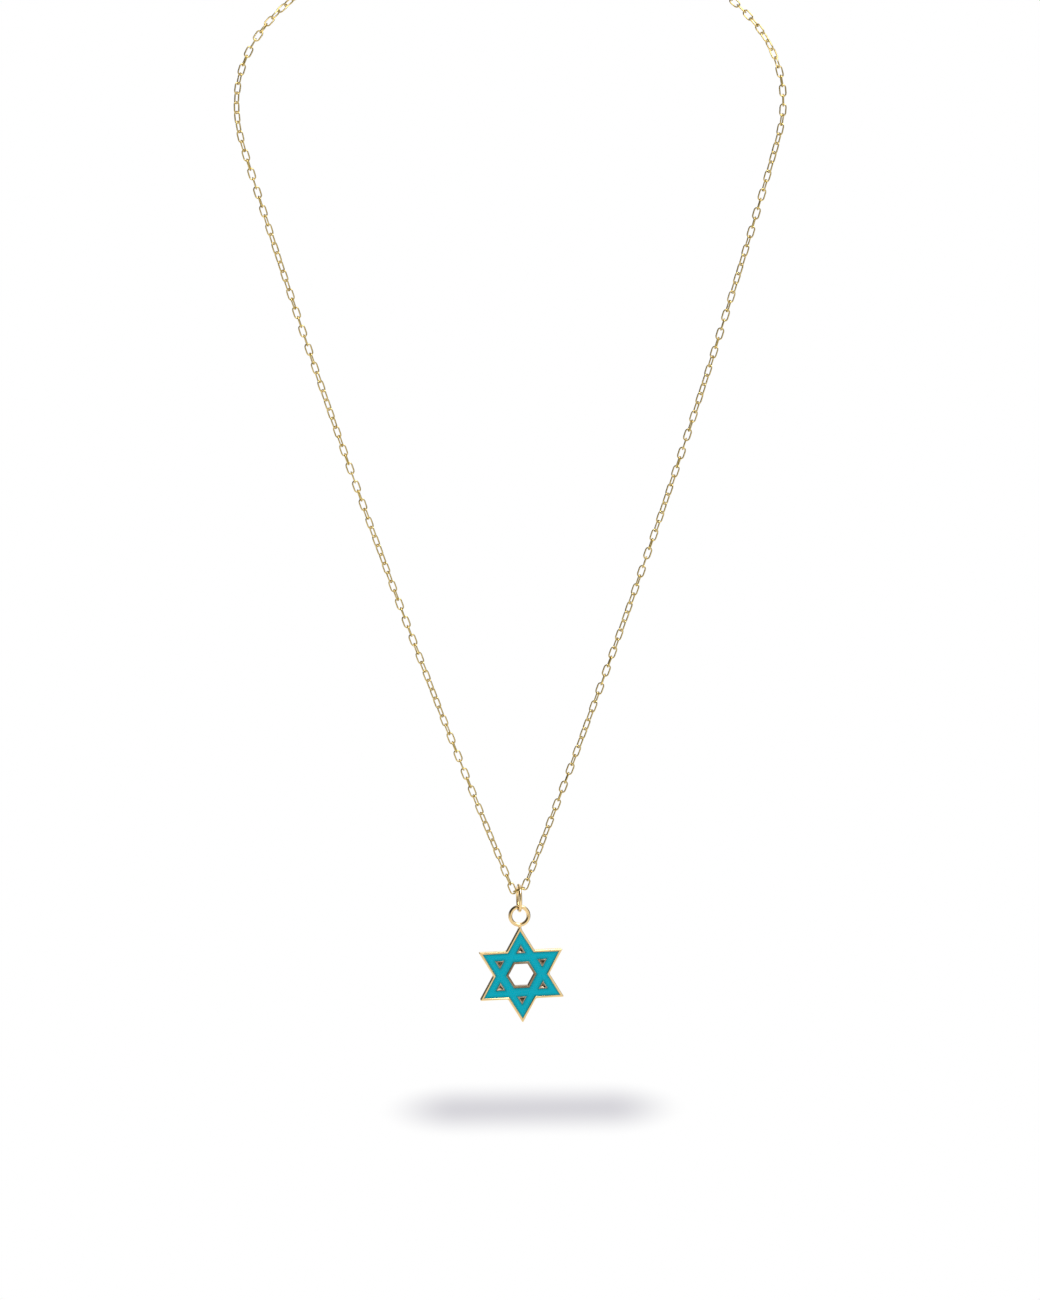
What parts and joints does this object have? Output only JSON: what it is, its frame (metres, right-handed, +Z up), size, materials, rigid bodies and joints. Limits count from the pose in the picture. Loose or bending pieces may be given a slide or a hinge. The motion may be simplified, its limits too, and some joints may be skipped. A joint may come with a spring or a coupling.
{
  "type": "star pendant necklace",
  "caption": "Fine oval-link chain necklace in yellow gold with a star of David pendant: turquoise enamel face, open middle, soldered ring, round bail and plain ring clasp.",
  "frame": {"origin": "middle of the clasp at the nape, where the chain lies on the back of the neck and holds the necklace up", "axes": "+X to the viewer's right, -Y towards the viewer, whom the star faces within 7 degrees, +Z up; the star hangs below the origin"},
  "size_m": [0.1037, 0.0234, 0.2083],
  "materials": {
    "gold": "mirror polished pale yellow gold",
    "enamel": "glossy opaque turquoise enamel"
  },
  "bodies": {
    "chain": {"left_chain": "gold", "right_chain": "gold", "clasp": "gold"},
    "bail": {"bail": "gold"},
    "star": {"star": "gold", "enamel": "enamel"}
  },
  "joints": [
    {"name": "bail_swing", "type": "hinge", "parent": "chain", "child": "bail", "pos_m": [0, -0.02, -0.17979], "axis": [1, 0, 0], "range_deg": [-30, 30]},
    {"name": "star_swing", "type": "hinge", "parent": "bail", "child": "star", "pos_m": [0, -0.02, -0.18387], "axis": [-0.1219, 0.9925, 0], "range_deg": [-50, 50]}
  ]
}
